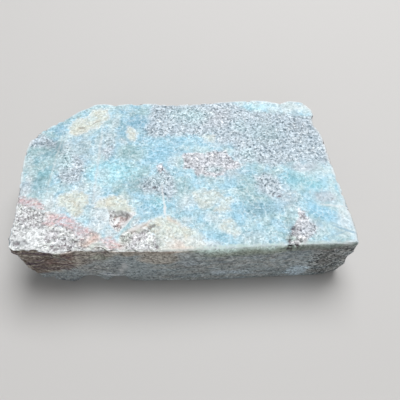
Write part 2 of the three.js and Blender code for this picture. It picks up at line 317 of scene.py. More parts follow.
def segment_distance(x, y, a, b):
    """Distance from each place to the straight line between two points."""
    dx, dy = b[0] - a[0], b[1] - a[1]
    t = np.clip(((x - a[0]) * dx + (y - a[1]) * dy) / (dx * dx + dy * dy), 0, 1)
    return np.hypot(x - a[0] - t * dx, y - a[1] - t * dy)


def bend(p, reach, wave):
    """The point moved up to about reach, so that straight edges wander."""
    return p + reach * noise.noise_vector(p / wave)


def flake_height(place, size):
    """Height of flat flakes that meet in ridges, -1 to 1: it is random at each lattice corner."""
    within = place @ GRAIN / size
    corner = np.floor(within).astype(int)
    within -= corner
    rows = np.arange(len(place))
    height = before = FLAKE_HEIGHTS[corner @ FLAKE_STEPS % len(FLAKE_HEIGHTS)]
    for axis in np.argsort(-within, axis=1).T:  # to the far corner, the longest way first
        corner[rows, axis] += 1
        after = FLAKE_HEIGHTS[corner @ FLAKE_STEPS % len(FLAKE_HEIGHTS)]
        height = height + within[rows, axis] * (after - before)
        before = after
    return height


def at_front_corner(x, y):
    """1 at the front's two upright edges, and 0 away from them."""
    (corner_x, corner_y), (reach_x, reach_y) = CORNER, CORNER_REACH
    return smooth(corner_x - reach_x, corner_x, np.abs(x)) * smooth(corner_y + reach_y, corner_y, y)


def in_ellipse(x, y, middle_x, middle_y, half_x, half_y):
    """1 inside the ellipse and 0 outside it, with a soft edge."""
    return smooth(1.3, 0.7, np.hypot((x - middle_x) / half_x, (y - middle_y) / half_y))


def rim_distance(x, y, edge):
    """How far each place is from the nearest one on the edge, seen from above, in mm."""
    rim = kdtree.KDTree(int(edge.sum()))
    for i, (edge_x, edge_y) in enumerate(zip(x[edge], y[edge])):
        rim.insert((edge_x, edge_y, 0), i)
    rim.balance()
    return np.array([rim.find((px, py, 0))[2] for px, py in zip(x, y)])


def pit_depth(x, y):
    """How deep the top lies below the saw's plane in the pits and the clefts."""
    depth = np.zeros(x.shape)
    for px, py, radius, deep in PITS:
        gap = np.hypot(x - px, y - py) / radius
        depth = np.maximum(depth, deep * np.sqrt(np.clip(1 - gap * gap, 0, 1)))
    for a, b, half, deep in CLEFTS:
        depth = np.maximum(depth, deep * (1 - smooth(0.3 * half, 1.6 * half, segment_distance(x, y, a, b))))
    return depth


def carve(mesh, settings):
    """Moves the vertices into the fine relief, and keeps what the finish reads as attributes."""
    noise.seed_set(NOISE_SEED)
    count = len(mesh.vertices)
    place, normal = np.empty(count * 3), np.empty(count * 3)
    mesh.vertices.foreach_get("co", place)
    mesh.vertex_normals.foreach_get("vector", normal)
    place, normal = place.reshape(-1, 3) / MM, normal.reshape(-1, 3)
    x, y, z = place.T  # views, so that what moves z moves the place

    # the regions, by where the surface faces and how high it lies
    up, ahead = normal[:, 2], -normal[:, 1]
    high = smooth(TOP - 6, TOP - 4, z)
    top, upper = smooth(0.55, 0.9, up) * high, smooth(0.05, 0.4, up) * high
    under = smooth(0.9, 0.99, -up) * (1 - smooth(0.05, 0.3, z))
    front = smooth(0.55, 0.85, ahead)
    left_end = 1 - smooth(-40, -28, x)
    bite_gap = np.hypot(x - BITE[0], y - BITE[1])
    broken = (1 - top) * (1 - under) * (1 - front * (1 - 0.8 * left_end))
    broken *= 1 - smooth(BITE_REACH, 1, bite_gap) * smooth(TOP - 3.5, TOP - 2.5, z)
    rim_gap = rim_distance(x, y, (z > TOP - 1.2) & (up > 0.35) & (up < 0.85))
    shares = {
        "broken": broken,
        "front": front,
        "bevel": smooth(0.38, 0.8, ahead) * smooth(0.05, 0.25, up) * smooth(TOP - 4, TOP - 3, z),
        "front_rim": smooth(0.2, 0.4, ahead) * smooth(0.65, 0.45, ahead) * smooth(TOP - 2, TOP - 1, z),
        "rim": np.clip(rim_gap / REACH, 0, 1),
    }
    for mineral, outlines in OUTLINES.items():
        inside = np.max([outline_distance(x, y, outline) for outline in outlines], axis=0)
        shares[mineral] = np.clip(inside, -REACH, REACH)
    rough = smooth(-0.4, 0.8, shares["calcite"]) * top
    clean, granular = in_ellipse(x, y, *CLEAN), in_ellipse(x, y, *GRANULAR)
    sound_edge = smooth(-12, -4, x) * smooth(-20, -26, y)  # the front edge right of the calcite is whole

    # relief along the normals: flakes, saw marks and layers, calcite grains, crumbled rim and pits
    wander = np.array([
        sum((reach * noise.noise_vector(Vector(p) / wave) for reach, wave in WANDER), Vector()) for p in place
    ])
    flakes = sum(tall * flake_height(place + 1.2 * wander, size) for size, tall in WALL_FLAKES)
    below_rim, off_foot = smooth(TOP - 0.5, TOP - 4, z), 0.25 + 0.75 * smooth(0, 2.5, z)
    height, crack = np.zeros(count), np.zeros(count)
    height += settings.rubble / MM * broken * (flakes - 0.15) * (0.15 + 0.85 * below_rim) * off_foot
    for i, p in enumerate(Vector(p) for p in place):
        if broken[i] > 0.01:
            height[i] += broken[i] * 0.1 * noise.noise(p / 0.9)
        if front[i] > 0.01:
            tall, along, upright = SAW_MARKS
            sawn = tall * noise.noise(Vector((p.x / along, p.y, p.z / upright)))
            tall, along, thick = LAYERS
            layered = tall * noise.noise(Vector((p.x / along, p.y / along, p.z / thick)))
            height[i] += front[i] * (sawn + left_end[i] * layered)
        if rough[i] > 0.01:
            size = CALCITE_GRAIN * (1 - 0.4 * granular[i])
            grain = bend(Vector((p.x + 0.5 * p.y, p.y * 1.3, p.z)), 1.0, 3.0) / size
            distances, points = noise.voronoi(grain)
            patches = max(float(smooth(-0.2, 0.25, noise.noise(p / 4.5))), granular[i]) * (1 - 0.8 * clean[i])
            crack[i] = rough[i] * patches * (1 - smooth(0.02, 0.14, distances[1] - distances[0]))
            height[i] += rough[i] * 0.3 * (1 - 0.6 * clean[i]) * (noise.cell(points[0] * 17.3) - 0.6)
        if rim_gap[i] < 1.4 and z[i] > TOP - 2.5:
            crumble = smooth(0.0, 0.45, noise.noise(p / 2.0 + Vector((9, 0, 0)))) * (1 - 0.8 * sound_edge[i])
            height[i] -= CRUMBLE[0] * crumble * (1 - smooth(0, CRUMBLE[1], rim_gap[i]))
    pit = pit_depth(x + wander[:, 0], y + wander[:, 1]) * upper
    height -= pit + settings.pitting / MM * crack
    height -= top * VUG_DEPTH * smooth(-0.1, 0.9, shares["vug"])

    # larger shifts: the bite's fill, the upper edge, the ground round the vug and the front's corners
    z += upper * BITE_FILL * smooth(BITE_REACH, 0, bite_gap)
    for side, middle, reach, shift in EDGE_SHIFTS:
        near = smooth(reach, 0, np.abs(x - middle))
        y += shift * near * smooth(24, 30, side * y) * smooth(TOP - 7, TOP - 2, z)
    from_vug = -shares["vug"]
    z += (TOP - VUG_RIM - z) * upper * smooth(0.1, 0.6, from_vug) * smooth(4.5, 3, from_vug)
    corner = at_front_corner(x, y)
    for side, level, half, out in KNOBS:
        x += side * out * corner * (side * x > 0) * smooth(half, 0, np.abs(z - level))
    place += normal * (height * (1 - under))[:, None]
    place[:, 2] = np.maximum(place[:, 2], 0)
    mesh.vertices.foreach_set("co", (place * MM).ravel())
    # pit and crack also lead the finish's painted shade in those hollows
    shares |= {
        "pit": np.clip(pit / 0.9, 0, 1),
        "crack": crack,
        # low places among the flakes, where the finish paints shade
        "crevice": smooth(0.4, -0.7, flakes) * broken,
        "clean": clean * rough,
        "granular": granular * rough,
    }
    for name, values in shares.items():
        mesh.attributes.new(name, "FLOAT", "POINT").data.foreach_set("value", values)
    mesh.update()


def needs_fine_mesh(x, y, z):
    """Whether the place is on the top, in one of the areas with fine relief."""
    return z > TOP - 5 and any(left < x < right and y < back for left, right, back in FINE_AREAS)


def fine_slab(settings):
    """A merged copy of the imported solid, smoothed, split and carved, as a new object."""
    bm = bmesh.new()
    bm.from_mesh(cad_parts[CAD_NODE].data)
    bmesh.ops.remove_doubles(bm, verts=bm.verts, dist=1e-6)
    bm.normal_update()
    underside = [f for f in bm.faces if f.normal.z < -0.999 and max(v.co.z for v in f.verts) < 1e-6]
    bmesh.ops.dissolve_faces(bm, faces=underside, use_verts=False)
    loose = [f for f in bm.faces if len(f.verts) == 3]
    bmesh.ops.join_triangles(
        bm, faces=loose, angle_face_threshold=radians(60), angle_shape_threshold=radians(60)
    )
    crease = bm.edges.layers.float.new("crease_edge")
    for edge in bm.edges:
        if any(len(f.verts) > 4 for f in edge.link_faces):
            edge[crease] = 1
    stone = object_from(bm, "larimar_stone")
    split = stone.modifiers.new("Split", "SUBSURF")
    split.levels = split.render_levels = settings.detail
    split.subdivision_type = "SIMPLE"
    flat_bm = evaluated_bmesh(stone)
    flat = [v.co.copy() for v in flat_bm.verts]
    flat_bm.free()
    split.subdivision_type = "CATMULL_CLARK"
    bm = evaluated_bmesh(stone)
    stone.modifiers.remove(split)
    for vertex, place in zip(bm.verts, flat):
        flatness = max(smooth(*FLAT_WALLS, place.z / MM), at_front_corner(place.x / MM, place.y / MM))
        vertex.co = vertex.co.lerp(place, float(FLAT_SHARE[0] + (FLAT_SHARE[1] - FLAT_SHARE[0]) * flatness))
    fine = [e for e in bm.edges if all(needs_fine_mesh(*v.co / MM) for v in e.verts)]
    bmesh.ops.subdivide_edges(bm, edges=fine, cuts=1, use_grid_fill=True, use_smooth_even=True)
    bmesh.ops.triangulate(bm, faces=[f for f in bm.faces if len(f.verts) > 4])
    for face in bm.faces:
        face.smooth = True
    bm.to_mesh(stone.data)
    bm.free()
    carve(stone.data, settings)
    return stone


def evaluated_bmesh(thing):
    """The object's mesh with its modifiers, as a bmesh."""
    bpy.context.view_layer.update()
    finished = thing.evaluated_get(bpy.context.evaluated_depsgraph_get())
    bm = bmesh.new()
    bm.from_mesh(finished.to_mesh())
    finished.to_mesh_clear()
    bm.verts.ensure_lookup_table()
    return bm


def object_from(bm, name):
    """A new object in the scene with the bmesh as its mesh; the bmesh is freed."""
    mesh = bpy.data.meshes.new(name)
    bm.to_mesh(mesh)
    bm.free()
    made = bpy.data.objects.new(name, mesh)
    bpy.context.scene.collection.objects.link(made)
    return made


# ---------------------------------------------------------------- clouds of colour in the finish

# A cloud is an ellipsoid with a soft edge: mineral, centre, half sizes, strength, softness and turn
# in degrees about Z.


def on_top(deep, softness, *rows):
    """Clouds on the top that reach this deep, from mineral, X, Y, two half sizes and strength.

    A row goes on with its softness, where that isn't the given one, and its turn.
    """
    return [
        (mineral, (x, y, TOP), (wide, long, deep), strength, *(rest or (softness,)))
        for mineral, x, y, wide, long, strength, *rest in rows
    ]


CLOUDS = on_top(
    9, 0.7,
    ("lilac", -37, 8, 6, 10, 0.45), ("lilac", -27, 12, 3, 8, 0.4), ("cyan", -24, -1.5, 9, 4.4, 0.6, 0.6),
    ("sky", -8.5, 6, 5, 8, 0.7, 0.6, 14), ("sky", 4, 12, 13, 2.6, 0.5, 0.6, -6),
    ("deep_blue", -1.5, 12, 2, 1.6, 0.4, 0.6), ("lilac", 15.5, 11.5, 6, 2.4, 0.5, 0.6),
    ("deep_blue", -16.8, 22, 5.6, 3.6, 0.62, 0.6, 8), ("deep_blue", -22, 16.5, 2.4, 3.6, 0.45, 0.6, 20),
    ("deep_blue", -13.5, 17, 1.8, 4.4, 0.5, 0.6), ("deep_blue", -45, 19, 1.8, 3.6, 0.5, 0.5),
    ("sky", -11, -17.5, 5, 3.4, 0.45, 0.7, 30), ("lilac", -24, -21, 4, 4, 0.5),
    ("lilac", -29, -15, 3, 4, 0.4), ("sky", 3, -19.5, 10, 3.4, 0.25, 0.7, -20),
    ("sky", 13, -29.5, 6, 3, 0.55, 0.6, -20), ("sky", 19, -19, 3, 5, 0.4, 0.6),
    ("lilac", 16, -2.6, 7, 3, 0.6, 0.7, 10), ("sage", 27, 2, 4, 4, 0.4),
    ("deep_blue", 27.4, -18.6, 6.4, 2.6, 0.5, 0.6, 4), ("sky", 24.5, -27.6, 5, 2.6, 0.4),
    ("lilac", 36, -14.6, 3, 4, 0.6), ("turquoise", 39.6, -6.2, 3, 3.4, 0.7, 0.6, -30),
    ("turquoise", 45, -8.4, 4, 2.6, 0.7, 0.6, -40), ("calcite", 48, -3, 7, 3.4, 0.35),
    ("cyan", 50, -9, 6, 12, 0.12, 0.5, 12), ("lilac", 48.6, -14.4, 3.4, 2.4, 0.8, 0.5, -20),
    ("sky", 46.6, -20.6, 7, 2.4, 0.8, 0.5, -36), ("calcite", 53.4, -21, 2.4, 9, 0.36, 0.6, 10),
    ("calcite", 39, 29.5, 16, 3.4, 0.4, 0.5, -4), ("cyan", 31, 29, 6, 2, 0.4, 0.6),
    ("slate", -47.5, 8.6, 4.4, 1.6, 0.2), ("turquoise", -49, -1.4, 4.6, 1.6, 0.45, 0.6),
    ("deep_blue", -50, -6, 2.6, 3, 0.25, 0.6, 10), ("calcite", -54, 4, 1.6, 4, 0.3),
    ("lilac", -53.6, -6.4, 1.8, 3.4, 0.7, 0.6), ("calcite", -44, -14.4, 3.2, 3.2, 0.62, 0.7, 20),
    ("calcite", -52.8, -8.4, 2, 1.6, 0.35), ("calcite", -24.6, 22.8, 1.8, 2.6, 0.35),
    ("calcite", -2.8, 3.2, 2, 2.4, 0.35), ("calcite", -20.6, 13, 2, 2, 0.35),
    ("calcite", -42.2, 10.8, 1.8, 2.4, 0.35), ("calcite", 2, -22.4, 2.4, 1.8, 0.35),
    ("calcite", -28.4, -24.4, 3.6, 1.8, 0.45, 0.6, -20), ("calcite", -27, -19.8, 3.2, 4.4, 0.4, 0.6),
    ("calcite", -29.5, -10, 2.2, 2.6, 0.35), ("calcite", 11, -20.8, 3, 2, 0.35, 0.7, -20),
    ("calcite", 23, -29.2, 4, 2.4, 0.25), ("calcite", 52, -26, 2.6, 4.6, 0.28, 0.6),
    ("turquoise", -6.8, -14, 2.6, 2.6, 0.7), ("deep_blue", -1.2, 7.4, 2.6, 1.8, 0.35),
    ("deep_blue", -20.4, 28.8, 4, 2, 0.35), ("calcite", 1.6, -15.4, 3.4, 2.4, 0.45, 0.7, 40),
    ("calcite", -27.2, -2.4, 2.2, 2.6, 0.35), ("calcite", -15.4, -22.2, 1.4, 2.6, 0.55, 0.7, -40),
    ("calcite", -34.6, -7.6, 2.4, 1.8, 0.4), ("calcite", -40, -17.2, 2.4, 1.6, 0.45),
    ("sage", 29.3, -26.6, 2.6, 2, 0.35), ("calcite", -52.4, -1.8, 2, 2, 0.35),
    ("cream", -18.2, -11.6, 2.2, 1.6, 0.5), ("calcite", -22.2, -26, 2, 1.4, 0.5),
    ("calcite", 10.4, -30.8, 2.6, 1.6, 0.45),
)
# Tints that lie over the speckled areas.
STAINS = on_top(
    9, 0.7,
    ("plum", 46.6, 17.6, 4.4, 4, 0.14, 0.7, -20), ("sage", 32, 15, 6, 5, 0.3),
    ("violet", 14, 24, 5, 5, 0.35), ("pale_blue", 4, 25, 7, 4, 0.75),
    ("slate", -13, -7, 5, 2.8, 0.16, 0.8, -10), ("pale_blue", -7.6, -5.6, 3, 2.6, 0.4),
    # the slate at X 36.4 is painted shade in a pit
    ("slate", -47.2, 11.6, 4.4, 1.7, 0.38, 0.8, -10), ("slate", 36.4, -26.4, 1.2, 2.4, 0.25, 0.6, -8),
    ("pale_blue", -41.4, 5, 3.2, 5, 0.85, 0.6), ("lilac", 44, -1, 4.6, 2.4, 0.8, 0.6),
    ("pale_blue", 24.4, 5.2, 2.6, 2.6, 0.5), ("pale_blue", 12.8, -1.4, 2.8, 1.8, 0.6),
    ("pale_blue", 22.8, 19, 2.6, 2.6, 0.45), ("pale_blue", -26.4, 12.6, 1.8, 3, 0.45),
    ("lilac", 42.8, -26, 3, 3, 0.5),
)
# Stains that lie over the calcite and the coral.
CRUST_STAINS = on_top(
    5, 0.6,
    ("peach", -28, -28, 2.2, 1.7, 0.5), ("peach", -14.8, -25, 3, 1, 0.4, 0.6, 20),
    ("peach", -19.5, -30.6, 2.6, 1.4, 0.3), ("peach", -2, -30.8, 3, 1.5, 0.3),
    # the slate at X -51.1 here and at X -7.8 on the next line is painted shade among pits
    ("tan", -4, -32.8, 10, 1.1, 0.65), ("slate", -51.1, -27.8, 2.9, 0.9, 0.45, 0.5, 8),
    ("calcite", -47.6, -18, 4, 2.4, 0.8, 0.6, -20), ("slate", -7.8, -29.8, 0.9, 2.2, 0.3, 0.5),
    ("peach", -31.2, -28.7, 2.2, 1.5, 0.42), ("calcite", -25.6, -29.8, 2.2, 1.3, 0.45),
    ("cream", -17.5, -28, 2.2, 1.7, 0.75), ("calcite", -37, -25.8, 2.4, 1.4, 0.7, 0.6, -20),
    ("calcite", -38.6, -30.8, 2.2, 1.1, 0.45), ("calcite", -52.6, -25, 2, 1.8, 0.5),
    ("violet", -48, -22.4, 2.2, 1.2, 0.4), ("plum", -37.4, -29, 2.2, 1.4, 0.18),
    ("peach", -29.4, -29.6, 2.4, 1.4, 0.45), ("calcite", -27.4, -31.4, 3.2, 1.1, 0.6),
    ("calcite", 1.4, -30, 9, 2, 0.35), ("peach", 0.6, -32.6, 2.6, 1, 0.5),
    ("tan", -38.4, 18.8, 3, 2, 0.5, 0.7, 30), ("umber", -37.8, 20.4, 1.6, 0.5, 0.5, 0.6, 25),
    ("umber", -32.4, 23.4, 2, 0.5, 0.5, 0.6, 30), ("pale_blue", -34.6, 25.2, 2, 1.2, 0.4, 0.6, 25),
    ("violet", -42.4, -25.6, 2, 1.8, 0.5), ("violet", -14.2, -27.6, 2.6, 1.4, 0.6, 0.6, 15),
    ("calcite", -31.6, -27.4, 2, 1.6, 0.4, 0.6, -20), ("calcite", 37.6, -30, 3, 1.7, 0.7),
    ("umber", -12, -22.9, 0.5, 1.6, 0.4, 0.5, -45), ("umber", -9.4, -23.8, 0.5, 1.8, 0.45, 0.5, -50),
)
# Clouds on the sawn front, which shows its own cut through the layers; a few just under the rim are painted
# shadow.
FRONT_CLOUDS = [
    (mineral, (x, y, z), (wide, 5, tall), strength, softness)
    for mineral, x, y, z, wide, tall, strength, softness in (
        # the plum at X -35 on this line and the umber at X -39.6 lie just under the rim: painted shadow of
        # the edge
        ("front_tan", -43.5, -31.4, 8.6, 3, 3, 0.35, 0.6), ("plum", -35, -32.5, 21.6, 3, 1.2, 0.6, 0.5),
        ("front_blue", -40, -32, 5, 6, 3.4, 0.45, 0.4), ("olive", -39.4, -32, 20.6, 3, 2.6, 0.75, 0.3),
        ("slate", -40.3, -32, 17.6, 3.4, 1.5, 0.6, 0.4),
        ("front_tan", -34.6, -32.6, 16.2, 1.9, 3, 0.8, 0.3), ("rust", -36, -32, 20.6, 1.8, 2, 0.75, 0.4),
        ("rust", -41, -32, 13.4, 5, 0.8, 0.9, 0.3), ("rust", -36.4, -32, 15.6, 2, 0.8, 0.7, 0.4),
        ("rust", -43, -32, 15.4, 2.4, 0.8, 0.5, 0.4), ("umber", -39.6, -32, 21.4, 2.8, 1.1, 0.45, 0.5),
        ("front_tan", -28.2, -33, 20, 6.4, 1.8, 0.85, 0.35), ("olive", -25.5, -33, 18.4, 3, 1.4, 0.6, 0.4),
        ("front_grey", -28, -33, 12, 8, 4, 0.55, 0.5), ("front_blue", -28.6, -33, 13.4, 4.6, 0.9, 0.5, 0.4),
        ("slate", -26.3, -33, 9.4, 3.4, 0.7, 0.6, 0.4), ("lilac", -26.2, -33, 6, 2.4, 1.4, 0.6, 0.4),
        ("front_blue", -18, -33.2, 12.6, 6, 6, 0.5, 0.4), ("slate", -21, -33.2, 12, 2.4, 5, 0.3, 0.5),
        ("front_tan", -14, -33.2, 21.8, 16, 1.1, 0.8, 0.4),
        ("front_tan", -7, -33.4, 18.4, 7, 3.8, 0.8, 0.25), ("peach", -1.4, -33.4, 22.6, 5, 0.9, 0.6, 0.5),
        ("front_blue", 3, -33.4, 17.6, 4, 3, 0.4, 0.6), ("slate", 3, -33.4, 8, 7, 4.4, 0.18, 0.5),
        ("lilac", 2, -33.4, 15, 3, 2.6, 0.3, 0.6), ("lilac", 14, -33.4, 7, 5, 1.4, 0.5, 0.5),
        ("lilac", 25, -33.4, 4.6, 4, 1.2, 0.3, 0.5), ("front_pale", 39.7, -32.8, 5.4, 4, 3.8, 0.8, 0.25),
        ("slate", 34, -32.8, 18, 12, 3, 0.22, 0.6), ("umber", 51.4, -32.4, 12, 7.4, 12, 0.25, 0.5),
        ("front_grey", 47.5, -32.6, 16.5, 4, 2.5, 0.35, 0.6), ("umber", 44, -32.4, 20.4, 9, 1.2, 0.4, 0.5),
        ("front_pale", 20.4, -33.4, 6.4, 3, 2, 0.34, 0.6), ("umber", -12, -33.2, 22.2, 8, 0.8, 0.4, 0.5),
    )
]
# Thin veins, scratches and stains, on the top and then on the front and its edge; some are painted shade,
# shadow and highlight.
VEINS = on_top(
    5, 0.5,
    ("calcite", -29.5, 4, 0.5, 19, 0.32), ("calcite", -5.7, -14, 0.35, 6, 0.6, 0.5, 6),
    ("calcite", -5.2, -17.6, 0.45, 2.2, 0.7), ("calcite", -13.4, -23.6, 0.5, 4, 0.6, 0.5, -60),
    # the slate on this line and the next two is painted shade in the pits by the front edge
    ("calcite", 50.8, -18, 4, 0.5, 0.5, 0.5, -8), ("slate", 36.6, -26, 0.8, 1, 0.42),
    ("slate", 35.6, -28.2, 0.8, 0.5, 0.5), ("slate", 34.6, -29.9, 1.2, 0.35, 0.6, 0.5, 8),
    # the umber at X -21.5 here and at X -18.4 on the next line is painted shade on the vug's upper wall
    ("slate", 34.8, -31.2, 1.2, 0.3, 0.45, 0.5, -5), ("umber", -21.5, -18.9, 1.7, 0.3, 0.45, 0.5, 26),
    ("umber", -18.4, -18.7, 1.6, 0.3, 0.35, 0.5, -17), ("mauve", -18.4, -19.9, 1.9, 1, 0.5),
    ("calcite", -17.6, -22, 4.2, 0.45, 0.7, 0.5, 56), ("calcite", -22.1, -23.6, 2.2, 0.4, 0.6, 0.5, -53),
    ("deep_blue", 52.6, -27, 4.4, 0.4, 0.6, 0.5, -24), ("deep_blue", 50, -28.6, 3.4, 0.3, 0.4, 0.5, 14),
    ("calcite", -45, 3.4, 0.4, 15, 0.25, 0.5, -3.6), ("plum", 39.9, -21.5, 0.3, 1.3, 0.5, 0.5, 27),
) + [
    ("calcite", (-19.2, -33, 12.8), (0.9, 5, 2.4), 0.5, 0.5),
    ("calcite", (-20.8, -33, 9), (0.8, 5, 1.8), 0.45, 0.5),
    # painted highlight along the rim of the chipped foot
    ("calcite", (-24, -33, 5.6), (3.4, 5, 0.5), 0.55, 0.5),
    # painted shadow just under the rim, at the bite and at X -28
    ("plum", (-24.9, -33.3, 22), (2.1, 1.5, 2), 0.9, 0.5),
    ("plum", (-28, -33.8, 21.8), (1, 0.8, 0.8), 0.7, 0.5),
    ("calcite", (53.4, -32.8, TOP), (2.6, 1, 1.3), 0.55, 0.5),
    # painted shade under the broken front edge
    ("slate", (34.6, -33.8, 22.2), (4.2, 1.3, 1.2), 0.9, 0.5),
    ("slate", (-32.6, -33, 8.6), (3, 5, 0.3), 0.6, 0.5),
]
# White crystals in the vug.
CRYSTALS = on_top(
    5, 0.3,
    ("calcite", -21.3, -20.3, 0.8, 1.7, 0.85, 0.3, -20), ("calcite", -19.2, -18.2, 0.8, 0.6, 0.85, 0.3, -20),
)
# Areas with a look of their own, as the clouds but without a mineral.
CALM = ((51, -16, TOP), (9, 16, 9), 0.5, 0.4, 12)  # fewer grains
# the dark gaps of the pitted area below are partly painted shade among the pits
PITTED = ((36.2, -28.4, TOP), (1.6, 4.4, 9), 0.36, 0.4, -12)  # dark gaps between the grains
SEAMY = ((-36.5, -28, TOP), (9, 3.4, 9), 0.7, 0.4, 10)  # calcite with grey-brown streaks
HOST = ((-50, -32, 16), (19, 5, 14), 1, 0.3)  # host rock on the front
HOST_FOOT = (29.5, 0.5, 1.2)  # its lower border: height at X = 0, slope and softness
ROUGH_END = ((52, -33, 11), (9.5, 5, 11.5), 1, 0.2)  # coarser grains at the front's right end
# Grains, which make the colour under them brighter or darker: flecks of their own, and painted glints and
# shade of crystal faces.
GRAIN_SIZE = 1.0
CRYSTAL_SIZE = 0.62
TINT_LOST = 0.45  # how grey their light and shade is
DARKEST = (0.02, 0.02, 0.02, 1)


# ---------------------------------------------------------------- finish of the stone


class NodeTree:
    """Adds nodes to a tree: each call makes one and returns the socket that it gives."""

    def __init__(self, tree):
        self.tree = tree

    def add(self, kind, inputs, output=0, **settings):
        node = self.tree.nodes.new(kind)
        for name, value in settings.items():
            setattr(node, name, value)
        for key, value in inputs.items():
            if isinstance(value, bpy.types.NodeSocket):
                self.tree.links.new(value, node.inputs[key])
            else:
                node.inputs[key].default_value = value
        return node.outputs[output]

    def attribute(self, name):
        return self.add("ShaderNodeAttribute", {}, "Fac", attribute_name=name)

    def math(self, operation, a, b=0.0):
        return self.add("ShaderNodeMath", {0: a, 1: b}, operation=operation)

    def times(self, a, b):
        return self.math("MULTIPLY", a, b)

    def plus(self, a, b):
        return self.math("ADD", a, b)

    def minus(self, a, b):
        return self.math("SUBTRACT", a, b)

    def larger(self, a, b):
        return self.math("MAXIMUM", a, b)

    def swing(self, value, reach):
        """The 0 to 1 value moved to lie about zero, over this whole reach."""
        return self.times(self.minus(value, 0.5), reach)

    def ramp(self, value, low, high, peak=1.0):
        """0 at low, the peak at high, and smooth between them; low may be the higher of the two."""
        inputs = {"Value": value, "From Min": low, "From Max": high, "To Max": peak}
        return self.add("ShaderNodeMapRange", inputs, interpolation_type="SMOOTHSTEP")

    def mix(self, share, a, b, blend="MIX"):
        """The two colours mixed; a share of one that is added may be negative or over 1."""
        inputs = {0: share, 6: a, 7: b}
        clamp = blend != "ADD"
        return self.add("ShaderNodeMix", inputs, 2, data_type="RGBA", blend_type=blend, clamp_factor=clamp)

    def vector(self, operation, a, b):
        return self.add("ShaderNodeVectorMath", {0: a, 1: b}, operation=operation)

    def mapped(self, at, scale=(1, 1, 1), turn=0, shift=(0, 0, 0)):
        inputs = {"Vector": at, "Scale": scale, "Rotation": (0, 0, radians(turn)), "Location": shift}
        return self.add("ShaderNodeMapping", inputs)

    def noise(self, at, wave, detail=2, roughness=0.5, output=0, **mapping):
        """Noise about as wide as the wave, on the coordinate or on a mapped one."""
        at = self.mapped(at, **mapping) if mapping else at
        inputs = {"Vector": at, "Scale": 1 / wave, "Detail": detail, "Roughness": roughness}
        return self.add("ShaderNodeTexNoise", inputs, output)

    def cells(self, at, wave):
        """Distance to the nearest border between cells about as wide as the wave, in waves."""
        inputs = {"Vector": at, "Scale": 1 / wave}
        return self.add("ShaderNodeTexVoronoi", inputs, feature="DISTANCE_TO_EDGE")

    def bend(self, at, reach, wave):
        """The coordinate moved up to about reach by noise, so that edges wander."""
        shift = self.vector("SUBTRACT", self.noise(at, wave, output=1), (0.5,) * 3)
        return self.vector("ADD", at, self.vector("MULTIPLY", shift, (2 * reach,) * 3))


def cloud_group():
    """A node group that gives its strength inside a turned ellipsoid, and 0 outside its soft edge."""
    group = bpy.data.node_groups.new("Cloud", "ShaderNodeTree")
    for name in ("At", "Centre", "Half size"):
        group.interface.new_socket(name, in_out="INPUT", socket_type="NodeSocketVector")
    for name in ("Turn", "Softness", "Strength"):
        group.interface.new_socket(name, in_out="INPUT", socket_type="NodeSocketFloat")
    group.interface.new_socket("Share", in_out="OUTPUT", socket_type="NodeSocketFloat")
    t = NodeTree(group)
    given = group.nodes.new("NodeGroupInput").outputs
    inputs = {"Vector": t.vector("SUBTRACT", given["At"], given["Centre"]), "Angle": given["Turn"]}
    turned = t.add("ShaderNodeVectorRotate", inputs, rotation_type="Z_AXIS", invert=True)
    scaled = t.vector("DIVIDE", turned, given["Half size"])
    reach = t.add("ShaderNodeVectorMath", {0: scaled}, "Value", operation="LENGTH")
    outer, inner = t.plus(1.0, given["Softness"]), t.minus(1.0, given["Softness"])
    end = group.nodes.new("NodeGroupOutput")
    group.links.new(t.ramp(reach, outer, inner, given["Strength"]), end.inputs["Share"])
    return group


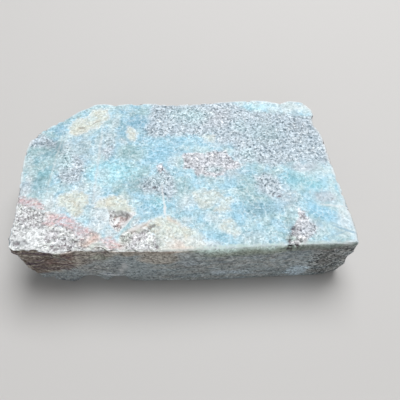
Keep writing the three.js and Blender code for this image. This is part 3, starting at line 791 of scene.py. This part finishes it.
def stone_finish(settings):
    """Sawn larimar: coloured patches, grey and white speckle, veins, saw marks and pits."""
    material = bpy.data.materials.new("larimar")
    material.use_nodes = True
    material.node_tree.nodes.clear()
    t = NodeTree(material.node_tree)
    at = t.mapped(t.add("ShaderNodeTexCoord", {}, "Object"), (1 / MM,) * 3)
    slightly_bent = t.bend(at, 0.5, 2.2)
    bent = t.bend(t.bend(at, 2.4, 9), 0.9, 2.6)
    sideways, _, height = t.add("ShaderNodeSeparateXYZ", {0: bent}).node.outputs
    ragged = t.plus(t.swing(t.noise(at, 2.6, 3, 0.65), 3.4), t.swing(t.noise(at, 0.9, 1), 1.2))
    group = cloud_group()
    names = ("pit", "crack", "rim", "broken", "crevice", "front", "bevel", "front_rim", "clean", "granular")
    pit, crack, rim, broken, crevice, front, bevel, front_rim, clean, granular = map(t.attribute, names)

    def paint(mineral):
        return (*getattr(settings, mineral), 1)

    def stain(colour, mineral, share, strength=1):
        """The colour with a share of the mineral's over it."""
        return t.mix(share if strength == 1 else t.times(share, strength), colour, paint(mineral))

    def cloud(centre, half, strength, softness, turn=0, where=bent):
        inputs = {
            "At": where, "Centre": centre, "Half size": half, "Turn": radians(turn),
            "Softness": softness, "Strength": strength,
        }
        return t.add("ShaderNodeGroup", inputs, node_tree=group)

    def clouded(colour, rows, where=bent):
        """The colour with the rows' clouds over it, one after another."""
        for mineral, *row in rows:
            colour = stain(colour, mineral, cloud(*row, where=where))
        return colour

    def patch(mineral, edge, wander=1.0, shift=0.0):
        inside = t.plus(t.attribute(mineral), t.times(ragged, wander))
        return t.ramp(inside, shift - edge, shift + edge)

    # grains, which change the brightness of what they lie on: flecks of their own, and painted glints and
    # shade of crystal faces
    fine_grain = t.noise(slightly_bent, GRAIN_SIZE, 3, 0.75)
    clusters = t.noise(at, 3.2)
    grains = t.plus(t.times(fine_grain, 0.84), t.times(clusters, 0.16))
    pale_grain = t.noise(slightly_bent, 0.9, 3, 0.75, shift=(31, 7, 3))
    fibres = t.noise(t.bend(at, 0.8, 5), 0.9, 3, 0.65, scale=(0.35, 1.6, 1), turn=8)
    cross = t.noise(at, 0.8, 2, 0.6, scale=(1.7, 0.14, 1), turn=2)
    tufts = t.noise(t.bend(at, 0.6, 1.3), 1.6, 3, 0.65)
    crystals = t.add("ShaderNodeTexVoronoi", {"Vector": slightly_bent, "Scale": 1 / CRYSTAL_SIZE}, "Color")
    crystals = t.add("ShaderNodeSeparateColor", {0: crystals})

    def shaded(colour, change):
        """The colour brighter or darker by the change, a share of it, with much the same tint."""
        level = t.add("ShaderNodeRGBToBW", {0: colour})
        grey = t.add("ShaderNodeCombineColor", {0: level, 1: level, 2: level})
        changed = t.mix(change, colour, t.mix(TINT_LOST, colour, grey), "ADD")
        return t.mix(1.0, changed, DARKEST, "LIGHTEN")

    def speckled(colour, density, glint_reach, dark_grain=grains, bright_grain=pale_grain):
        """The colour with dark and bright grains in it, more and stronger ones at a higher density, and
        painted glints and shade of crystal faces.
        """
        start = t.minus(0.56, t.times(density, 0.085))
        dark = t.ramp(dark_grain, start, t.plus(start, 0.07), t.plus(0.2, t.times(density, 0.5)))
        light = t.ramp(bright_grain, 0.52, 0.6, t.plus(0.15, t.times(density, 0.3)))
        return shaded(colour, t.plus(t.swing(crystals, glint_reach), t.minus(light, dark)))

    # ground
    colour = t.mix(t.ramp(t.noise(bent, 4.5, 3), 0.38, 0.62, 0.6), paint("pale_blue"), paint("sky"))
    colour = stain(colour, "sage", t.ramp(t.noise(bent, 6, shift=(40, 0, 0)), 0.5, 0.66, 0.6))
    colour = stain(colour, "sage", patch("sage", 1, 0.8), 0.52)
    colour = clouded(colour, CLOUDS)
    lilac, violet = patch("lilac", 1.6), patch("violet", 0.7)
    colour = stain(stain(colour, "lilac", lilac, 0.85), "violet", violet, 0.8)
    colour = clouded(colour, STAINS)
    threads = t.times(t.ramp(t.cells(t.bend(at, 0.7, 1.6), 2.1), 0.14, 0), t.ramp(clusters, 0.35, 0.6))
    colour = stain(colour, "calcite", threads, 0.25)
    change = t.plus(t.ramp(fibres, 0.5, 0.64, 0.09), t.ramp(cross, 0.52, 0.66, 0.07))
    change = t.minus(t.plus(change, t.times(threads, 0.1)), t.ramp(tufts, 0.5, 0.36, 0.17))
    change = t.minus(change, t.ramp(fibres, 0.5, 0.36, 0.1))
    calm = cloud(*CALM)
    colour = shaded(colour, t.times(change, t.minus(1, calm)))

    # patches with their own edges
    faint = t.minus(1, t.ramp(sideways, 2, 6, 0.42))
    cream = t.times(t.times(patch("cream", 0.8), t.plus(0.5, t.ramp(tufts, 0.6, 0.45, 0.4))), faint)
    colour = stain(colour, "calcite", t.times(patch("cream", 0.5, shift=-0.7), faint), 0.45)
    colour = t.mix(cream, colour, t.mix(t.ramp(clusters, 0.45, 0.62), paint("cream"), paint("tan")))
    colour = stain(colour, "tan", t.times(cream, t.ramp(fibres, 0.47, 0.36, 0.6)))
    colour = stain(colour, "peach", patch("peach", 0.8, 0.6), 0.6)
    calcite = patch("calcite", 0.5, 0.5)
    colour = stain(colour, "calcite", calcite, 0.93)
    blots = t.noise(bent, 2.2, 3, 0.65, shift=(0, 60, 0))
    dusty = t.times(calcite, t.minus(1, t.times(t.larger(clean, t.times(granular, 0.6)), 0.8)))
    colour = stain(colour, "cream", t.times(dusty, t.ramp(blots, 0.5, 0.62, 0.55)))
    colour = stain(colour, "violet", t.times(dusty, t.ramp(blots, 0.48, 0.36, 0.5)))
    colour = stain(colour, "calcite", patch("coral", 0.8, 0.7, -0.6), 0.35)
    blotchy = t.noise(bent, 1.5, 3, 0.65, scale=(0.6, 1.5, 1), turn=25)
    coral = t.times(patch("coral", 0.8, 0.8), t.plus(0.4, t.ramp(blotchy, 0.38, 0.6, 0.5)))
    rosy = stain(paint("coral"), "violet", t.ramp(blots, 0.5, 0.36, 0.6))
    rosy = stain(rosy, "peach", t.ramp(blots, 0.52, 0.64, 0.6))
    colour = clouded(t.mix(coral, colour, rosy), CRUST_STAINS)

    # the gaps between the calcite's grains, grey-brown and darkened further as painted shade, and its streaks
    # of grey-brown
    borders = t.cells(slightly_bent, 1.25)
    gaps = t.times(t.ramp(borders, 0.13, 0.02), t.plus(t.times(granular, 0.34), 0.2))
    gaps = t.times(t.times(gaps, calcite), t.minus(1, t.times(clean, 0.7)))
    pitted = t.times(t.ramp(borders, 0.15, 0.04), cloud(*PITTED))
    seams = t.noise(slightly_bent, 1.3, 3, 0.7, scale=(0.35, 1.5, 1), turn=-14)
    seams = t.times(t.ramp(seams, 0.53, 0.6), cloud(*SEAMY))
    colour = stain(colour, "plum", t.larger(t.larger(gaps, pitted), seams))

    # the vug: mauve walls in a white rim, with white crystals
    vug = t.plus(t.attribute("vug"), t.swing(fine_grain, 1.2))
    colour = stain(colour, "calcite", t.ramp(t.math("ABSOLUTE", vug), 0.9, 0.3, 0.75))
    walls = t.times(t.ramp(vug, 0.2, 0.9), t.plus(0.65, t.ramp(tufts, 0.6, 0.4, 0.35)))
    colour = clouded(stain(colour, "mauve", walls), CRYSTALS, slightly_bent)

    # the speckle of all this, and the rim of the top paler: a painted highlight of the lit edge, with its
    # wear
    density = t.plus(t.times(lilac, 0.58), t.times(violet, 0.6))
    density = t.larger(density, t.times(calcite, t.minus(0.5, t.times(clean, 0.25))))
    density = t.larger(t.times(density, t.minus(1, t.times(cream, 0.5))), t.times(coral, 0.35))
    density = t.minus(density, t.times(calm, 0.4))
    colour = speckled(colour, density, t.plus(0.44, t.times(density, 0.56)))
    # painted highlight: calcite along the top's rim, and cream to mint on the front rim
    colour = stain(colour, "calcite", t.ramp(t.plus(rim, t.swing(clusters, 0.25)), 0.22, 0, 0.6))
    rim_highlight = t.plus(0.2, t.ramp(t.noise(at, 1.3), 0.42, 0.56, 0.65))
    rim_highlight = t.times(front_rim, t.times(rim_highlight, t.minus(1, t.ramp(sideways, 36, 42, 0.4))))
    colour = t.mix(rim_highlight, colour, t.mix(t.ramp(sideways, -2, 8), paint("cream"), paint("mint")))

    # the sawn front, cut through the layers; its colours are darker than the top's, partly painted shade of a
    # face the key light doesn't reach
    layers = t.noise(t.bend(at, 1.5, 7), 1.5, 5, 0.7, scale=(0.14, 1, 0.7))
    dim = t.noise(bent, 5, 4, 0.65, scale=(0.5, 1, 1), shift=(0, 0, 50))
    cut = stain(paint("front_grey"), "front_blue", t.ramp(layers, 0.36, 0.62))
    cut = stain(cut, "slate", t.ramp(dim, 0.5, 0.68, 0.4))
    cut = stain(cut, "slate", t.ramp(layers, 0.45, 0.33, 0.45))
    cut = stain(cut, "calcite", t.ramp(layers, 0.6, 0.72, 0.3))
    foot, slope, softness = HOST_FOOT
    above = t.ramp(t.minus(height, t.times(sideways, slope)), foot - softness, foot + softness)
    left = t.ramp(sideways, -6, -14)
    cut = stain(cut, "front_tan", t.times(left, above), 0.6)
    cut = stain(cut, "front_blue", t.times(left, t.minus(1, above)), 0.55)
    host = t.times(cloud(*HOST), above)
    cut = clouded(stain(cut, "umber", host, 0.8), FRONT_CLOUDS)
    strata = t.noise(t.bend(at, 1.1, 6), 1.1, 4, 0.7, scale=(0.1, 0.1, 1))
    streaky = t.times(t.ramp(sideways, -14, -26), t.plus(0.35, t.times(host, 0.65)))
    cut = stain(cut, "plum", t.times(streaky, t.ramp(strata, 0.49, 0.42, 0.95)))
    cut = stain(cut, "front_tan", t.times(streaky, t.ramp(strata, 0.52, 0.58, 0.9)))
    skin = t.ramp(t.minus(height, t.ramp(sideways, 12, 42, 3.2)), TOP - 6.5, TOP - 4)
    # painted light: mint over the edge's olive, stronger higher up where the rounded edge turns to the light
    edge_light = t.ramp(t.minus(height, t.ramp(sideways, 12, 34, 1.8)), TOP - 3.9, TOP - 0.9)
    worn_and_lit_edge = stain(paint("olive"), "mint", t.times(edge_light, t.ramp(sideways, 2, 8)))
    worn_and_lit_edge = stain(worn_and_lit_edge, "slate", t.ramp(sideways, 30, 42, 0.42))
    cut = t.mix(t.times(t.times(skin, t.ramp(sideways, 2, 10)), 0.8), cut, worn_and_lit_edge)
    front_density = t.plus(0.42, t.times(t.larger(cloud(*ROUGH_END), t.times(host, 0.25)), 0.8))
    layered = t.mapped(slightly_bent, (0.5, 1, 1.4))
    dark_layers, pale_layers = (t.noise(layered, GRAIN_SIZE, 3, 0.75, shift=(x, 0, 0)) for x in (0, 17))
    cut = speckled(cut, front_density, t.plus(0.6, t.times(front_density, 0.8)), dark_layers, pale_layers)
    # the front takes its own darker colours, partly painted shade
    colour = t.mix(t.times(front, 0.97), colour, cut)
    # painted glints and shade of crystal faces on the edge
    worn_and_lit_edge = t.mix(t.swing(crystals, 0.5), worn_and_lit_edge, worn_and_lit_edge, "ADD")
    colour = t.mix(t.times(t.times(bevel, t.ramp(sideways, -6, 8)), 0.75), colour, worn_and_lit_edge)
    colour = clouded(colour, VEINS, slightly_bent)

    # broken sides: brown host rock in patches, painted shade in the crevices and painted light on the ridges
    side = stain(paint("pale_blue"), "lilac", t.ramp(layers, 0.4, 0.6))
    side = stain(side, "umber", t.ramp(t.noise(slightly_bent, 8, 6, 0.7), 0.49, 0.54, 0.8))
    # painted shade: plum in the crevices; painted light: calcite on the ridges
    side = stain(stain(side, "plum", crevice, 0.5), "calcite", t.ramp(crevice, 0.3, 0, 0.3))
    colour = t.mix(t.times(broken, t.minus(1, front)), colour, speckled(side, 0.7, 0.8))
    # painted shade: plum darkens the pits and the calcite's cracks, where shade lies
    pit_shade = t.ramp(t.plus(pit, t.swing(fine_grain, 1.2)), 0.25, 0.8)
    colour = stain(colour, "plum", t.larger(pit_shade, t.times(crack, 0.48)), 0.75)

    relief = t.plus(t.times(fine_grain, 0.34), t.times(cross, 0.07))
    surface = t.add("ShaderNodeBsdfPrincipled", {
        "Base Color": colour,
        "Roughness": t.plus(0.5, t.times(fine_grain, 0.3)),
        "IOR": 1.5,
        "Specular IOR Level": 0.35,
        "Normal": t.add("ShaderNodeBump", {"Height": relief, "Distance": MM, "Strength": 0.7}),
    })
    end = t.tree.nodes.new("ShaderNodeOutputMaterial")
    t.tree.links.new(surface, end.inputs["Surface"])
    return material


class LARIMAR_OT_stone(bpy.types.Operator):
    """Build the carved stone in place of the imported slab"""

    bl_idname = "larimar.stone"
    bl_label = "Stone"

    def execute(self, context):
        settings = context.scene.larimar_stone
        stone = fine_slab(settings)
        stone.data.materials.clear()
        stone.data.materials.append(stone_finish(settings))
        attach(stone, "root")
        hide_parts(CAD_NODE)
        return {"FINISHED"}


class LARIMAR_OT_stage(bpy.types.Operator):
    """Lay the floor, hang the soft light and stand the camera"""

    bl_idname = "larimar.stage"
    bl_label = "Stage"

    def execute(self, context):
        settings = context.scene.larimar_stage
        scene = context.scene
        self.lay_floor(settings)
        self.hang_lights(scene, settings)
        self.stand_camera(scene, settings)
        scene.view_settings.view_transform = "Standard"
        return {"FINISHED"}

    def lay_floor(self, settings):
        bm = bmesh.new()
        bmesh.ops.create_grid(bm, x_segments=1, y_segments=1, size=settings.floor_size / 2)
        floor = object_from(bm, "floor")
        material = bpy.data.materials.new("floor")
        material.use_nodes = True
        shade = material.node_tree.nodes["Principled BSDF"]
        shade.inputs["Base Color"].default_value = (*settings.floor_colour, 1)
        shade.inputs["Roughness"].default_value = 0.8
        floor.data.materials.append(material)

    def hang_lights(self, scene, settings):
        for name in ("key", "fill"):
            power, azimuth, elevation = (
                getattr(settings, f"{name}_{what}") for what in ("power", "azimuth", "elevation")
            )
            self.hang(scene, name, power, azimuth, elevation, settings)
        world = bpy.data.worlds.new("studio")
        world.use_nodes = True
        sky = world.node_tree.nodes["Background"]
        sky.inputs["Color"].default_value = (1, 1, 1, 1)
        sky.inputs["Strength"].default_value = settings.ambient
        scene.world = world

    def hang(self, scene, name, power, azimuth, elevation, settings):
        lamp = bpy.data.lights.new(name, "AREA")
        lamp.energy = power
        lamp.size = settings.key_size
        light = bpy.data.objects.new(name, lamp)
        scene.collection.objects.link(light)
        level = cos(elevation)
        towards = Vector((sin(azimuth) * level, cos(azimuth) * level, sin(elevation)))
        light.location = towards * settings.key_distance
        light.rotation_euler = towards.to_track_quat("Z", "Y").to_euler()

    def stand_camera(self, scene, settings):
        lens = bpy.data.cameras.new("camera")
        lens.sensor_width = SENSOR_WIDTH
        lens.lens = settings.lens
        lens.clip_start = NEAREST_SEEN
        camera = bpy.data.objects.new("camera", lens)
        scene.collection.objects.link(camera)
        camera.location = settings.camera_place
        camera.rotation_euler = Euler((pi / 2 - settings.camera_pitch, 0, -settings.camera_yaw))
        scene.camera = camera


class LARIMAR_PT_panel(bpy.types.Panel):
    bl_idname = "LARIMAR_PT_panel"
    bl_label = "Larimar"
    bl_space_type = "VIEW_3D"
    bl_region_type = "UI"
    bl_category = "Larimar"

    def draw(self, context):
        for settings, operator in (("larimar_stone", "larimar.stone"), ("larimar_stage", "larimar.stage")):
            box = self.layout.box()
            group = getattr(context.scene, settings)
            for name in group.bl_rna.properties.keys():
                if name not in ("rna_type", "name"):
                    box.prop(group, name)
            box.operator(operator)


CLASSES = (
    LarimarStoneSettings,
    LarimarStageSettings,
    LARIMAR_OT_stone,
    LARIMAR_OT_stage,
    LARIMAR_PT_panel,
)


def register():
    for cls in CLASSES:
        bpy.utils.register_class(cls)
    bpy.types.Scene.larimar_stone = PointerProperty(type=LarimarStoneSettings)
    bpy.types.Scene.larimar_stage = PointerProperty(type=LarimarStageSettings)


def unregister():
    del bpy.types.Scene.larimar_stage
    del bpy.types.Scene.larimar_stone
    for cls in reversed(CLASSES):
        bpy.utils.unregister_class(cls)


def main():
    register()
    bpy.ops.larimar.stone()
    bpy.ops.larimar.stage()


if __name__ == "__main__":
    main()
